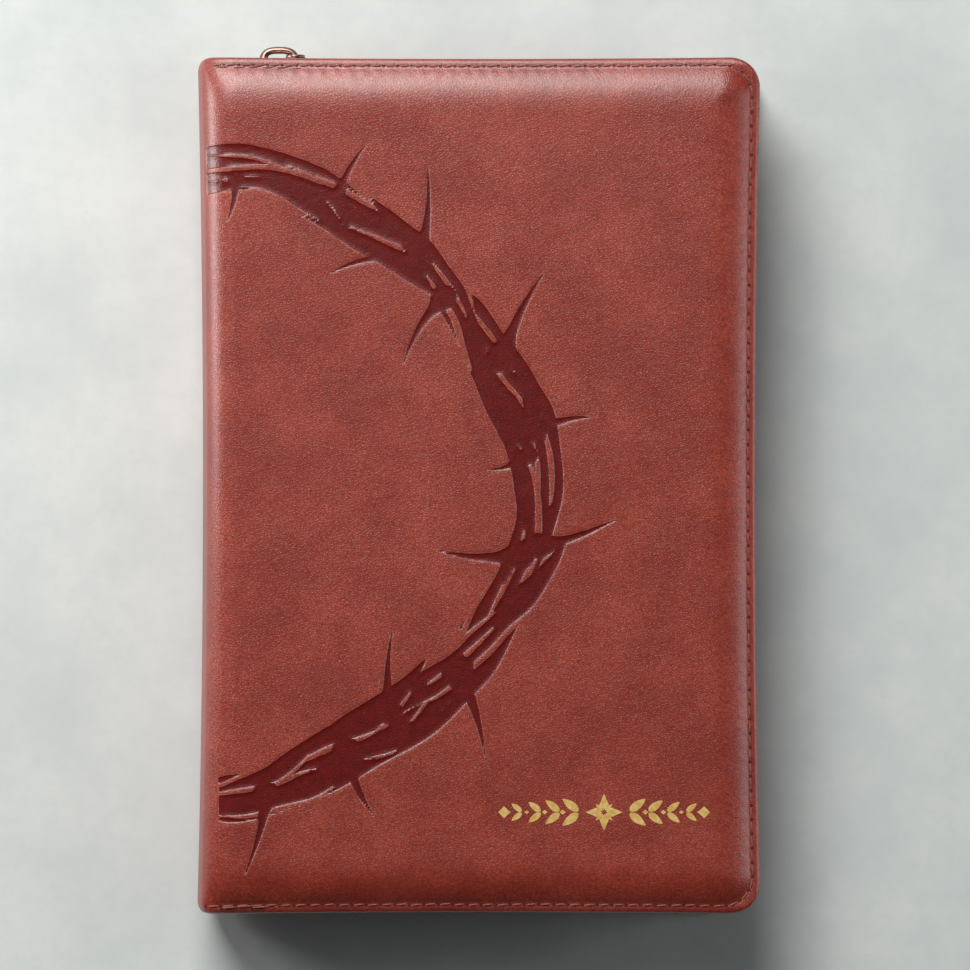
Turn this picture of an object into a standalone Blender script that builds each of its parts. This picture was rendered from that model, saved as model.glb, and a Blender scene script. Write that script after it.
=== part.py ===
"""A zip-round Bible: a padded leather case with a zip on three sides, round a sewn text block.

Frame: +X from spine to fore-edge, +Y from tail to head, +Z from back cover to front cover.
The origin is the middle of the back cover's outer face, which the closed book rests on.
Each function returns one closed solid. Lengths below are in millimetres times MM.
"""

import math

import bmesh
import bpy

MM = 0.001

# Driving dimensions
WIDTH = 145 * MM  # spine to fore-edge
HEIGHT = 220 * MM  # tail to head
THICKNESS = 36 * MM  # back cover to front cover, closed
CORNER_R = 8 * MM  # cover corners at the fore-edge
GAP = 0.3 * MM  # between neighbouring pieces

HALF_W = WIDTH / 2
HALF_H = HEIGHT / 2
MID_Z = THICKNESS / 2

# The soft edges of the case pull in between its corners
WAIST_FORE = 1.4 * MM
WAIST_HEAD = 0.5 * MM
SPINE_FLARE = 1.4 * MM  # the spine is this much further out at head and tail
SPINE_END_R = 3.5 * MM  # rounding of the spine's two ends

# Layers of one cover, counted inwards from its outer face
SKIN = 1.0 * MM
PADDING = 1.5 * MM
BOARD = 0.8 * MM
LINING = 0.5 * MM
PADDING_AT = SKIN + GAP
BOARD_AT = PADDING_AT + PADDING + GAP
LINING_AT = BOARD_AT + BOARD + GAP
COVER = LINING_AT + LINING

# The sewn rim of a cover, by distance in from the edge
RIM_DROP = 2.0 * MM  # the rim lies this much lower than the padded middle
LIP_DEPTH = 4.5 * MM  # the turned edge reaches this far below the padded face
LIP_W = 1.3 * MM
STITCH_IN = 2.4 * MM
STITCH_DIP = 0.3 * MM
THREAD_R = 0.35 * MM
FILLING_IN = 8.6 * MM  # padding and board stop here
LINING_IN = 3.0 * MM

# Zip: two tapes, each with a row of coil, meeting at mid thickness
TAPE = 0.6 * MM
TAPE_IN = LIP_W + GAP
TAPE_SEAM_W = 6.4 * MM
TAPE_AT = BOARD_AT + 0.2 * MM  # depth of the sewn flange below the padded face
TAPE_MID_IN = 3.0 * MM  # the tapes are drawn in this far from the rim where they meet
TAPE_FLAT = 5.5 * MM  # and stand upright this far each side of mid thickness
TAPE_EDGE = 1.0 * MM  # from mid thickness to a tape's edge
COIL_T = 1.6 * MM
COIL_W = 2.8 * MM

# Spine and joints
SPINE_X = -HALF_W + SPINE_FLARE  # outermost face of the spine, at mid height
SPINE_RISE = 12 * MM  # the spine skin reaches this far each side of mid thickness
SPINE_SAG = 1.2 * MM
SHOULDER_W = 7.8 * MM
COVER_X = SPINE_X + SPINE_SAG + SHOULDER_W  # where a cover's skin starts
JOINT_X = COVER_X - 5.9 * MM  # a cover turns about this line, along Y
JOINT_DEPTH = 1.5 * MM

# Text block
BACK_X = SPINE_X + SKIN + 3 * GAP + 0.8 * MM  # the rounded back, at mid thickness
FORE_X = 64 * MM
BLOCK_HALF_H = 103 * MM
PAGE_CORNER_R = 6 * MM
ROUNDING = 2.3 * MM
BLOCK_HALF_T = MID_Z - COVER - GAP
FLYLEAF = 0.4 * MM
FRONT_LEAVES = (1.4 * MM, 1.9 * MM, 2.4 * MM)  # turned with the front cover, first one first
SECTIONS = 8
RIBBON = 0.35 * MM
RIBBON_W = 5 * MM
RIBBON_XS = (-50 * MM, -41 * MM)
RIBBON_AFTER = 5  # the ribbons lie on this section, counted from the back

# Slider and pull
SLIDER_X = -50.4 * MM
SLIDER_L = 12.8 * MM
SLIDER_HALF_W = 4.8 * MM
PLATE = 1.1 * MM
PLATE_SLACK = 0.45 * MM  # between the tapes and the inner plate
FLANGE = 0.6 * MM
POST_L = 3.0 * MM
POST_HALF_W = 0.6 * MM
CROWN_X = (-56.4 * MM, -46.5 * MM)  # outer ends of the crown, the arch that holds the pull
CROWN_H = 3.5 * MM
CROWN_T = 1.3 * MM
CROWN_W = 1.6 * MM
CROWN_FOOT = 2.0 * MM  # along X, of the crown's leg at the slider's nose
PULL_X = -47.3 * MM  # the pull's eye hangs on the crown's other leg, which is 1.6 mm long
PULL_T = 1.0 * MM
PULL_EYE_R = 2.5 * MM
PULL_EYE_HOLE = 1.6 * MM
PULL_NECK = 1.5 * MM
PULL_TIP_R = 2.9 * MM
PULL_REACH = 13.2 * MM  # from the eye's middle to the middle of the round tip
PULL_TIP_HOLE = 1.5 * MM

COIL_END_X = SLIDER_X - SLIDER_L / 2 + POST_L + 2 * GAP  # both rows run from here round to here

TURNED = ("front_flyleaf", "front_leaves_1", "front_leaves_2", "front_leaves_3")

CORNER_STEPS = 8
SHORT_STEPS = 7
LONG_STEPS = 10

LEATHER = ((0.24, 0.055, 0.04), 0.45, 0.0)
FOAM = ((0.75, 0.73, 0.68), 0.9, 0.0)
CARD = ((0.45, 0.38, 0.29), 0.9, 0.0)
ENDPAPER = ((0.62, 0.52, 0.38), 0.8, 0.0)
THREAD = ((0.10, 0.02, 0.018), 0.7, 0.0)
TAPE_CLOTH = ((0.11, 0.025, 0.02), 0.9, 0.0)
COIL = ((0.09, 0.02, 0.017), 0.4, 0.0)
METAL = ((0.30, 0.21, 0.18), 0.35, 1.0)
PAPER = ((0.86, 0.82, 0.70), 0.8, 0.0)
GAUZE = ((0.80, 0.78, 0.72), 0.95, 0.0)
RIBBON_CLOTH = ((0.30, 0.02, 0.03), 0.6, 0.0)


def clear_scene():
    for obj in list(bpy.data.objects):
        bpy.data.objects.remove(obj)


def material(name, look):
    colour, roughness, metallic = look
    made = bpy.data.materials.get(name) or bpy.data.materials.new(name)
    made.use_nodes = True
    shader = made.node_tree.nodes["Principled BSDF"]
    shader.inputs["Base Color"].default_value = (*colour, 1)
    shader.inputs["Roughness"].default_value = roughness
    shader.inputs["Metallic"].default_value = metallic
    return made


def pivot(name, x, y, z, parent=None):
    """An empty on a joint's axis. The pieces of that body are its children."""
    empty = bpy.data.objects.new(name, None)
    bpy.context.scene.collection.objects.link(empty)
    empty.parent = parent
    base = parent.matrix_world.translation if parent else (0, 0, 0)
    empty.location = (x - base[0], y - base[1], z - base[2])
    bpy.context.view_layer.update()
    return empty


def place(obj, body, look_name, look):
    """Gives obj, modelled in the book's frame, its material and its body."""
    obj.data.materials.append(material(look_name, look))
    if body:
        obj.parent = body
        obj.location = tuple(-c for c in body.matrix_world.translation)
    return obj


def solid(name, bm, body, look_name, look, smooth=math.radians(35)):
    bmesh.ops.remove_doubles(bm, verts=bm.verts, dist=1e-7)
    bmesh.ops.recalc_face_normals(bm, faces=bm.faces)
    mesh = bpy.data.meshes.new(name)
    bm.to_mesh(mesh)
    bm.free()
    mesh.shade_smooth()
    mesh.set_sharp_from_angle(angle=smooth)
    obj = bpy.data.objects.new(name, mesh)
    bpy.context.scene.collection.objects.link(obj)
    return place(obj, body, look_name, look)


def lofted(name, rings, body, look_name, look):
    """Joins rings of points, all of one length, and caps the first and the last."""
    bm = bmesh.new()
    made = [[bm.verts.new(p) for p in ring] for ring in rings]
    count = len(rings[0])
    for ring, following in zip(made, made[1:]):
        for i in range(count):
            j = (i + 1) % count
            bm.faces.new((ring[i], ring[j], following[j], following[i]))
    bm.faces.new(made[0])
    bm.faces.new(made[-1])
    return solid(name, bm, body, look_name, look)


def waisted(x, y):
    """Pulls a point of the case in where its soft edges do."""
    along_y = 1 - (y / HALF_H) ** 2
    along_x = 1 - (x / HALF_W) ** 2
    fore = WAIST_FORE * max(x / HALF_W, 0) ** 2 * along_y
    return x - fore, y - WAIST_HEAD * (y / HALF_H) * along_x


def unchanged(x, y):
    return x, y


def u_path(inset, x_start, half_w=HALF_W, half_h=HALF_H, radius=CORNER_R, bend=waisted):
    """The three open sides, from the spine end of the head round to that of the tail."""
    r = max(radius - inset, 1.2 * MM)
    cx = half_w - inset - r
    cy = half_h - inset - r
    head = [(x_start + (cx - x_start) * i / SHORT_STEPS, cy + r) for i in range(SHORT_STEPS)]
    quarter = [math.pi / 2 * i / CORNER_STEPS for i in range(CORNER_STEPS + 1)]
    corner = [(cx + r * math.sin(a), cy + r * math.cos(a)) for a in quarter]
    fore = [(cx + r, cy - 2 * cy * i / LONG_STEPS) for i in range(1, LONG_STEPS)]
    half = head + corner
    points = half + fore + [(x, -y) for x, y in reversed(half)]
    return [bend(x, y) for x, y in points]


def u_body(name, outline, x_start, filled, body, look_name, look, shift=None, **path):
    """Sweeps outline, (inset, z) points, round the three open sides.

    A filled body's outline runs from the inner edge of its upper face out to the rim and
    back to the inner edge of its lower face, and flat faces close it. shift moves a point
    along X by its height.
    """
    bm = bmesh.new()
    rings = []
    for inset, z in outline:
        dx = shift(z) if shift else 0
        rings.append([bm.verts.new((x + dx, y, z)) for x, y in u_path(inset, x_start, **path)])
    pairs = list(zip(rings, rings[1:]))
    if not filled:
        pairs.append((rings[-1], rings[0]))
    for ring, following in pairs:
        for i in range(len(ring) - 1):
            bm.faces.new((ring[i], ring[i + 1], following[i + 1], following[i]))
    head_end = [ring[0] for ring in rings]
    tail_end = [ring[-1] for ring in rings]
    if filled:
        bm.faces.new(rings[0])
        bm.faces.new(rings[-1])
        bm.faces.new(head_end + tail_end[::-1])
    else:
        bm.faces.new(head_end)
        bm.faces.new(tail_end)
    return solid(name, bm, body, look_name, look)


def front_z(depth):
    return THICKNESS - depth


def back_z(depth):
    return depth


def skin_depth(inset):
    """How far the skin's outer face lies below the padded middle, by distance from the rim."""
    start, end = STITCH_IN + 0.5 * MM, 13 * MM
    t = min(max((inset - start) / (end - start), 0), 1)
    return RIM_DROP * (1 - t) ** 2.6


def cover_skin(side, z_of, body):
    """The outer leather of one cover: padded middle, stitched channel, turned edge."""
    slope = [13, 10.5, 8.5, 7, 5.7, 4.6, 3.7]
    outer = [(i * MM, skin_depth(i * MM)) for i in slope]
    channel = [
        (STITCH_IN + 0.5 * MM, RIM_DROP),
        (STITCH_IN, RIM_DROP + STITCH_DIP),
        (STITCH_IN - 0.5 * MM, RIM_DROP),
    ]
    edge = [(0.5 * MM, RIM_DROP), (0, RIM_DROP + 0.5 * MM), (0, LIP_DEPTH - 0.4 * MM)]
    lip = [(0.4 * MM, LIP_DEPTH), (LIP_W, LIP_DEPTH), (LIP_W, RIM_DROP + SKIN)]
    inner = [
        (4.6 * MM, RIM_DROP + SKIN),
        (7 * MM, SKIN + 0.75 * MM),
        (9.5 * MM, SKIN + 0.2 * MM),
        (12.5 * MM, SKIN),
    ]
    outline = [(i, z_of(d)) for i, d in outer + channel + edge + lip + inner]
    return u_body(f"{side}_skin", outline, COVER_X + GAP, True, body, "leather", LEATHER)


def flat_layer(name, z_of, depth, thickness, inset, x_start, body, look_name, look):
    outline = [(inset, z_of(depth)), (inset, z_of(depth + thickness))]
    return u_body(name, outline, x_start, True, body, look_name, look)


def padding(side, z_of, body):
    """Foam between skin and board, thinned towards its edge so that the skin rolls down."""
    top = PADDING_AT
    outline = [
        (FILLING_IN + 5.0 * MM, z_of(top)),
        (FILLING_IN + 1.5 * MM, z_of(top + 0.25 * MM)),
        (FILLING_IN, z_of(top + 0.7 * MM)),
        (FILLING_IN, z_of(top + PADDING)),
    ]
    return u_body(f"{side}_padding", outline, COVER_X + 1 * MM, True, body, "foam", FOAM)


def zip_tape(side, z_of, body):
    """A tape with its flange sewn into the rim and its edge hanging to mid thickness."""
    bend = TAPE_AT + TAPE
    lip = LIP_DEPTH + GAP
    edge = MID_Z - TAPE_EDGE
    flat = MID_Z - TAPE_FLAT
    outline = [
        (TAPE_IN, z_of(TAPE_AT)),
        (TAPE_IN + TAPE_SEAM_W, z_of(TAPE_AT)),
        (TAPE_IN + TAPE_SEAM_W, z_of(bend)),
        (TAPE_IN + TAPE, z_of(bend)),
        (TAPE_IN + TAPE, z_of(lip)),
        (TAPE_MID_IN + TAPE, z_of(flat)),
        (TAPE_MID_IN + TAPE, z_of(edge)),
        (TAPE_MID_IN, z_of(edge)),
        (TAPE_MID_IN, z_of(flat)),
        (TAPE_IN, z_of(lip)),
    ]
    return u_body(f"{side}_zip_tape", outline, COVER_X, False, body, "tape", TAPE_CLOTH)


def zip_coil(side, z_of, body):
    """One row of the coil, as its outer envelope, from the slider round to the bottom stop."""
    near, far = MID_Z - GAP / 2, MID_Z - GAP / 2 - COIL_W
    out, inn = TAPE_MID_IN - GAP - COIL_T, TAPE_MID_IN - GAP
    outline = [
        (out + 0.4 * MM, z_of(far)),
        (inn, z_of(far)),
        (inn, z_of(near)),
        (out + 0.4 * MM, z_of(near)),
        (out, z_of(near - 0.5 * MM)),
        (out, z_of(far + 0.5 * MM)),
    ]
    return u_body(f"{side}_zip_coil", outline, COIL_END_X, False, body, "coil", COIL)


def thread(side, z_of, body):
    """The seam's thread, lying in the stitched channel."""
    depth = RIM_DROP + STITCH_DIP - GAP - THREAD_R
    ring = [math.tau * i / 6 for i in range(6)]
    outline = [
        (STITCH_IN + THREAD_R * math.cos(a), z_of(depth) + THREAD_R * math.sin(a)) for a in ring
    ]
    return u_body(f"{side}_stitch_thread", outline, COVER_X + 1 * MM, False, body, "thread", THREAD)


def flare(y):
    """How far the spine's outside moves along X at this height: out, then in at its ends."""
    end = max(abs(y) - (HALF_H - SPINE_END_R), 0) / SPINE_END_R
    rounding = SPINE_END_R * (1 - math.sqrt(max(1 - end * end, 0)))
    return rounding - SPINE_FLARE * (y / HALF_H) ** 2


def spine_x(z):
    return SPINE_X + SPINE_SAG * ((z - MID_Z) / SPINE_RISE) ** 2


def back_of_block(z):
    """How far the rounded back, and the hollow fore-edge, lie from their middle line."""
    return ROUNDING * ((z - MID_Z) / (MID_Z - COVER)) ** 2


def y_stations(end):
    near = [end, end - 0.8 * MM, end - 2 * MM, end - 3.5 * MM, end - 7 * MM]
    return [*near, 55 * MM, 0, -55 * MM, *(-y for y in reversed(near))]


def spine_skin(body):
    """The leather over the spine, between the two joints."""
    steps = [-SPINE_RISE + 2 * SPINE_RISE * i / 8 for i in range(9)]
    rings = []
    for y in y_stations(HALF_H):
        outer = [(spine_x(MID_Z + dz) + flare(y), y, MID_Z + dz) for dz in steps]
        inner = [(x + SKIN, y, z) for x, y, z in reversed(outer)]
        rings.append(outer + inner)
    return lofted("spine_skin", rings, body, "leather", LEATHER)


def joint_skin(side, z_of, body):
    """The leather that bends when a cover opens: a quarter ellipse over the shoulder."""
    base = MID_Z - SPINE_RISE - GAP
    steps = [math.pi / 2 * i / 7 for i in range(8)]
    rings = []
    for y in y_stations(HALF_H):
        top = skin_depth(HALF_H - abs(y))
        rise = base - top
        centre = COVER_X
        width = centre - spine_x(MID_Z + SPINE_RISE) - flare(y)
        outer = [
            (centre - width * math.cos(a), y, z_of(base - rise * math.sin(a))) for a in steps
        ]
        inner = [
            (
                centre - (width - SKIN) * math.cos(a),
                y,
                z_of(base - (rise - SKIN) * math.sin(a)),
            )
            for a in reversed(steps)
        ]
        rings.append(outer + inner)
    return lofted(f"{side}_joint_skin", rings, body, "leather", LEATHER)


def curved_strip(name, offset, thickness, half_z, half_y, body, look_name, look):
    """A strip on the rounded back, offset outwards from the folds."""
    steps = [-half_z + 2 * half_z * i / 8 for i in range(9)]
    rings = []
    for y in (half_y, -half_y):
        inner = [
            (BACK_X + back_of_block(MID_Z + dz) - offset, y, MID_Z + dz) for dz in steps
        ]
        outer = [(x - thickness, y, z) for x, y, z in reversed(inner)]
        rings.append(inner + outer)
    return lofted(name, rings, body, look_name, look)


def leaves(name, z_low, z_high, body):
    """A stack of leaves with round corners, its back and fore-edge following the rounding."""
    path = dict(
        half_w=FORE_X, half_h=BLOCK_HALF_H, radius=PAGE_CORNER_R, bend=unchanged
    )
    outline = [(0, z_high), (0, z_low)]
    return u_body(name, outline, BACK_X, True, body, "paper", PAPER, back_of_block, **path)


def headband(name, y, body):
    """A woven roll across the end of the rounded back."""
    radius = 0.8 * MM
    curve = bpy.data.curves.new(name, "CURVE")
    curve.dimensions = "3D"
    curve.bevel_depth = radius
    curve.bevel_resolution = 1
    curve.use_fill_caps = True
    half = BLOCK_HALF_T - 1.5 * MM
    spline = curve.splines.new("POLY")
    spline.points.add(8)
    for i, point in enumerate(spline.points):
        z = MID_Z - half + 2 * half * i / 8
        point.co = (BACK_X + back_of_block(z) + radius, y, z, 1)
    obj = bpy.data.objects.new(name, curve)
    bpy.context.scene.collection.objects.link(obj)
    return place(obj, body, "headband", RIBBON_CLOTH)


def ribbon(name, x, z, body):
    """A page marker lying between two sections, out past the tail."""
    ends = (BLOCK_HALF_H + 1.5 * MM, -BLOCK_HALF_H - 3.0 * MM)
    half = RIBBON_W / 2
    rings = [
        [(x - half, y, z), (x + half, y, z), (x + half, y, z + RIBBON), (x - half, y, z + RIBBON)]
        for y in ends
    ]
    return lofted(name, rings, body, "ribbon", RIBBON_CLOTH)


def box(bm, x0, x1, y0, y1, z0, z1):
    corners = [bm.verts.new((x, y, z)) for x in (x0, x1) for y in (y0, y1) for z in (z0, z1)]
    faces = ((0, 1, 3, 2), (4, 6, 7, 5), (0, 4, 5, 1), (2, 3, 7, 6), (0, 2, 6, 4), (1, 5, 7, 3))
    for face in faces:
        bm.faces.new([corners[i] for i in face])


def united(name, shapes, body, look_name, look, bevel):
    """One solid from overlapping convex shapes, each given as a function that fills a bmesh."""
    parts = []
    for i, fill in enumerate(shapes):
        bm = bmesh.new()
        fill(bm)
        piece = solid(f"{name}_{i}" if i else name, bm, None, look_name, look)
        parts.append(piece)
    first = parts[0]
    for other in parts[1:]:
        other.hide_render = True
        other.display_type = "WIRE"
        joined = first.modifiers.new(other.name, "BOOLEAN")
        joined.operation = "UNION"
        joined.solver = "EXACT"
        joined.object = other
    edges = first.modifiers.new("edges", "BEVEL")
    edges.width = bevel
    edges.segments = 2
    edges.limit_method = "ANGLE"
    edges.angle_limit = math.radians(50)
    if body:
        first.parent = body
        first.location = tuple(-c for c in body.matrix_world.translation)
    return first


def tape_y():
    """The outer face of the head's tapes where the slider stands."""
    return waisted(SLIDER_X, HALF_H - TAPE_MID_IN)[1]


def plate_y():
    """The outer face of the slider's outer plate."""
    return tape_y() + GAP + COIL_T + GAP + PLATE


def extruded(bm, outline, axis, start, end):
    """A solid from an outline of (x, other) points, extruded along Y or Z."""
    def at(point, along):
        x, other = point
        return (x, along, other) if axis == "Y" else (x, other, along)

    first = [bm.verts.new(at(p, start)) for p in outline]
    last = [bm.verts.new(at(p, end)) for p in outline]
    bm.faces.new(first)
    bm.faces.new(last)
    for i in range(len(outline)):
        j = (i + 1) % len(outline)
        bm.faces.new((first[i], first[j], last[j], last[i]))


def slider_plate(bm, y0, y1):
    """Broad at the nose, where the rows meet, and narrower behind."""
    nose, tail = SLIDER_X - SLIDER_L / 2, SLIDER_X + SLIDER_L / 2
    half, waist = SLIDER_HALF_W, SLIDER_HALF_W - 0.9 * MM
    side = [(nose, half - 1.2 * MM), (nose + 1.0 * MM, half), (nose + 4 * MM, half)]
    side += [(tail - 1.5 * MM, waist + 0.2 * MM), (tail, waist - 0.8 * MM)]
    outline = [(x, MID_Z + z) for x, z in side] + [(x, MID_Z - z) for x, z in reversed(side)]
    extruded(bm, outline, "Y", y0, y1)


def crown(bm):
    """The arch on the outer plate, with a broad foot at the nose."""
    base = plate_y()
    steps = [math.pi * i / 14 for i in range(15)]

    def arch(x0, x1, height):
        middle, half = (x0 + x1) / 2, (x1 - x0) / 2
        points = []
        for a in steps:
            c, s = math.cos(a), max(math.sin(a), 0)
            points.append((middle + half * math.copysign(abs(c) ** 0.6, c), base + height * s**0.6))
        return points

    opening = (CROWN_X[0] + CROWN_FOOT, PULL_X - (CROWN_X[1] - PULL_X))
    outer = arch(*CROWN_X, CROWN_H)
    inner = arch(*opening, CROWN_H - CROWN_T)[::-1]
    sunk = base - PLATE / 2
    outline = outer + [(outer[-1][0], sunk), (inner[0][0], sunk)]
    outline += inner + [(inner[-1][0], sunk), (outer[0][0], sunk)]
    extruded(bm, outline, "Z", MID_Z - CROWN_W / 2, MID_Z + CROWN_W / 2)


def slider(body):
    """Two plates round the coil, joined by a post, with side rails and a crown."""
    y_out = plate_y() - PLATE
    y_in = tape_y() - TAPE - PLATE_SLACK
    nose, tail = SLIDER_X - SLIDER_L / 2, SLIDER_X + SLIDER_L / 2
    slit = tape_y() + GAP
    top = y_out + PLATE / 2
    edge = SLIDER_HALF_W - 0.9 * MM
    rail = (nose + 1.4 * MM, tail - 1.6 * MM, slit, top)
    post = (nose + 0.4 * MM, nose + POST_L, y_in - PLATE / 2, top, MID_Z - POST_HALF_W)
    shapes = [
        lambda bm: slider_plate(bm, y_out, y_out + PLATE),
        lambda bm: slider_plate(bm, y_in - PLATE, y_in),
        lambda bm: box(bm, *rail, MID_Z + edge - FLANGE, MID_Z + edge),
        lambda bm: box(bm, *rail, MID_Z - edge, MID_Z - edge + FLANGE),
        lambda bm: box(bm, *post, MID_Z + POST_HALF_W),
        crown,
    ]
    return united("slider", shapes, body, "metal", METAL, 0.12 * MM)


def circle(x, z, radius, start=0.0, turn=math.tau, steps=20):
    """Points of an arc in the XZ plane. The end point is left off a full circle."""
    count = steps if turn == math.tau else steps + 1
    angles = [start + turn * i / steps for i in range(count)]
    return [(x + radius * math.cos(a), z + radius * math.sin(a)) for a in angles]


def cutter(name, outline, y0, y1):
    bm = bmesh.new()
    extruded(bm, outline, "Y", y0, y1)
    obj = solid(name, bm, None, "metal", METAL)
    obj.hide_render = True
    obj.display_type = "WIRE"
    return obj


def pull(body):
    """A flat tab hanging from the crown: a round eye, a neck and a round tip with a hole."""
    y0 = plate_y() + GAP + 0.1 * MM
    tip_z = MID_Z - PULL_REACH
    shoulder = math.radians(52)
    eye = circle(PULL_X, MID_Z, PULL_EYE_R, -shoulder, math.pi + 2 * shoulder, 18)
    tip = circle(PULL_X, tip_z, PULL_TIP_R, math.pi, math.pi, 12)
    neck_z = MID_Z - PULL_EYE_R - 1.3 * MM
    left = [(PULL_X - PULL_NECK, neck_z), (PULL_X - PULL_NECK - 0.3 * MM, neck_z - 1.5 * MM)]
    right = [(2 * PULL_X - x, z) for x, z in reversed(left)]
    bm = bmesh.new()
    extruded(bm, eye + left + tip + right, "Y", y0, y0 + PULL_T)
    obj = solid("pull_tab", bm, None, "metal", METAL)
    holes = (
        ("eye_cutter", circle(PULL_X, MID_Z, PULL_EYE_HOLE)),
        ("tip_cutter", circle(PULL_X, tip_z, PULL_TIP_HOLE)),
    )
    for name, outline in holes:
        cut = obj.modifiers.new(name, "BOOLEAN")
        cut.operation = "DIFFERENCE"
        cut.solver = "EXACT"
        cut.object = cutter(name, outline, y0 - 1 * MM, y0 + PULL_T + 1 * MM)
    edges = obj.modifiers.new("edges", "BEVEL")
    edges.width = 0.2 * MM
    edges.segments = 2
    edges.limit_method = "ANGLE"
    edges.angle_limit = math.radians(50)
    obj.parent = body
    obj.location = tuple(-c for c in body.matrix_world.translation)
    return obj


def top_stop(side, z_of, body):
    """A crimped stop at the spine end of the tape's edge, ahead of the slider."""
    x = COVER_X + 1.2 * MM
    y = waisted(x, HALF_H - TAPE_MID_IN)[1] + GAP
    heights = sorted((z_of(MID_Z - TAPE_EDGE), z_of(MID_Z - TAPE_EDGE - 2.6 * MM)))
    bm = bmesh.new()
    box(bm, x - 1 * MM, x + 1 * MM, y, y + 1.2 * MM, *heights)
    obj = solid(f"{side}_top_stop", bm, None, "metal", METAL)
    edges = obj.modifiers.new("edges", "BEVEL")
    edges.width = 0.25 * MM
    edges.segments = 2
    obj.parent = body
    obj.location = tuple(-c for c in body.matrix_world.translation) if body else (0, 0, 0)
    return obj


def bottom_stop():
    """The stop across both rows at the tail, where the zip ends at the spine."""
    x = COIL_END_X
    y = -waisted(x, HALF_H - TAPE_MID_IN)[1] - GAP
    bm = bmesh.new()
    box(bm, x - 3.2 * MM, x - 0.6 * MM, y - 1.7 * MM, y, MID_Z - 3.0 * MM, MID_Z + 3.0 * MM)
    obj = solid("bottom_stop", bm, None, "metal", METAL)
    edges = obj.modifiers.new("edges", "BEVEL")
    edges.width = 0.3 * MM
    edges.segments = 2
    return obj


def cover(side, z_of, body):
    cover_skin(side, z_of, body)
    padding(side, z_of, body)
    inner_x = COVER_X + 1 * MM
    flat_layer(
        f"{side}_board", z_of, BOARD_AT, BOARD, FILLING_IN, inner_x, body, "card", CARD
    )
    flat_layer(
        f"{side}_lining", z_of, LINING_AT, LINING, LINING_IN, COVER_X, body, "endpaper", ENDPAPER
    )
    thread(side, z_of, body)
    zip_tape(side, z_of, body)
    zip_coil(side, z_of, body)


def text_block(front_bodies, block, back_leaf_body):
    """Leaves from the front down: those that turn, the sections that stay, the back flyleaf."""
    top = MID_Z + BLOCK_HALF_T
    for name, thickness, body in zip(TURNED, (FLYLEAF, *FRONT_LEAVES), front_bodies):
        leaves(name, top - thickness, top, body)
        top -= thickness + GAP
    low = MID_Z - BLOCK_HALF_T
    leaves("back_flyleaf", low, low + FLYLEAF, back_leaf_body)
    low += FLYLEAF + GAP
    markers = RIBBON + GAP
    each = (top + GAP - low - markers - SECTIONS * GAP) / SECTIONS
    for i in range(SECTIONS):
        leaves(f"section_{i + 1}", low, low + each, block)
        low += each + GAP
        if i + 1 == RIBBON_AFTER:
            for k, x in enumerate(RIBBON_XS):
                ribbon(f"ribbon_marker_{k + 1}", x, low, block)
            low += markers


def main():
    clear_scene()
    block = pivot("text_block_hinge", JOINT_X, 0, JOINT_DEPTH)
    back_leaf = pivot("back_flyleaf_hinge", JOINT_X, 0, JOINT_DEPTH)
    front = pivot("front_cover_hinge", JOINT_X, 0, THICKNESS - JOINT_DEPTH, block)
    turned = [
        pivot(f"{name}_hinge", JOINT_X, 0, THICKNESS - JOINT_DEPTH, block) for name in TURNED
    ]
    slide = pivot("zip_slider_slide", SLIDER_X, tape_y(), MID_Z)
    swing = pivot("zip_pull_hinge", PULL_X, plate_y() + GAP + PULL_T / 2, MID_Z, slide)

    cover("back", back_z, None)
    bottom_stop()
    top_stop("back", back_z, None)
    joint_skin("back", back_z, None)

    spine_skin(block)
    joint_skin("front", front_z, block)
    curved_strip("mull", GAP, 0.3 * MM, 11 * MM, 92 * MM, block, "gauze", GAUZE)
    liner_at = 2 * GAP + 0.3 * MM
    curved_strip("spine_liner", liner_at, 0.5 * MM, 10 * MM, 101 * MM, block, "card", CARD)
    headband("headband_head", BLOCK_HALF_H + GAP + 0.8 * MM, block)
    headband("headband_tail", -BLOCK_HALF_H - GAP - 0.8 * MM, block)
    text_block(turned, block, back_leaf)

    cover("front", front_z, front)
    top_stop("front", front_z, front)
    slider(slide)
    pull(swing)


main()
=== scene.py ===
import math

import bmesh
import bpy
import numpy as np
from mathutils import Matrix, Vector


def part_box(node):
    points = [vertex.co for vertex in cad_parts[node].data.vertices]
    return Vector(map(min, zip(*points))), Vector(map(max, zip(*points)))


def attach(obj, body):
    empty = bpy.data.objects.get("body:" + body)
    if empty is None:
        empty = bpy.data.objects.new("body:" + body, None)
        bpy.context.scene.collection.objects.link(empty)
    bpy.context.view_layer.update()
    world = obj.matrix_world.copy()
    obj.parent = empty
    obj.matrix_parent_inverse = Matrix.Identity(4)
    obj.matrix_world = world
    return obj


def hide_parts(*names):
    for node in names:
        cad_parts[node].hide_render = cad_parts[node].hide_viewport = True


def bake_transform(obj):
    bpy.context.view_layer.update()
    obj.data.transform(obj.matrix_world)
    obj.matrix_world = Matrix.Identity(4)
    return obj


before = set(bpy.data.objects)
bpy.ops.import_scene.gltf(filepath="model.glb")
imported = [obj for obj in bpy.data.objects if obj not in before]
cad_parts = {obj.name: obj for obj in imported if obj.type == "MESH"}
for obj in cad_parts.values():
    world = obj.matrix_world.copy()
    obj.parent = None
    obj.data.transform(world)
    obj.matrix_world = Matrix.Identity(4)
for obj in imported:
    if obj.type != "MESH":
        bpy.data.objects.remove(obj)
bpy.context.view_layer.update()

# All lengths below are in millimetres, in the CAD's frame, and become metres when a mesh is made.
MM = 0.001

# The closed case.
HALF_W, HALF_H = 72.5, 110.0
THICK = 36.0
MID = THICK / 2
CORNER_R = 8.0
WAIST_FORE, WAIST_HEAD = 1.4, 0.5

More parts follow.
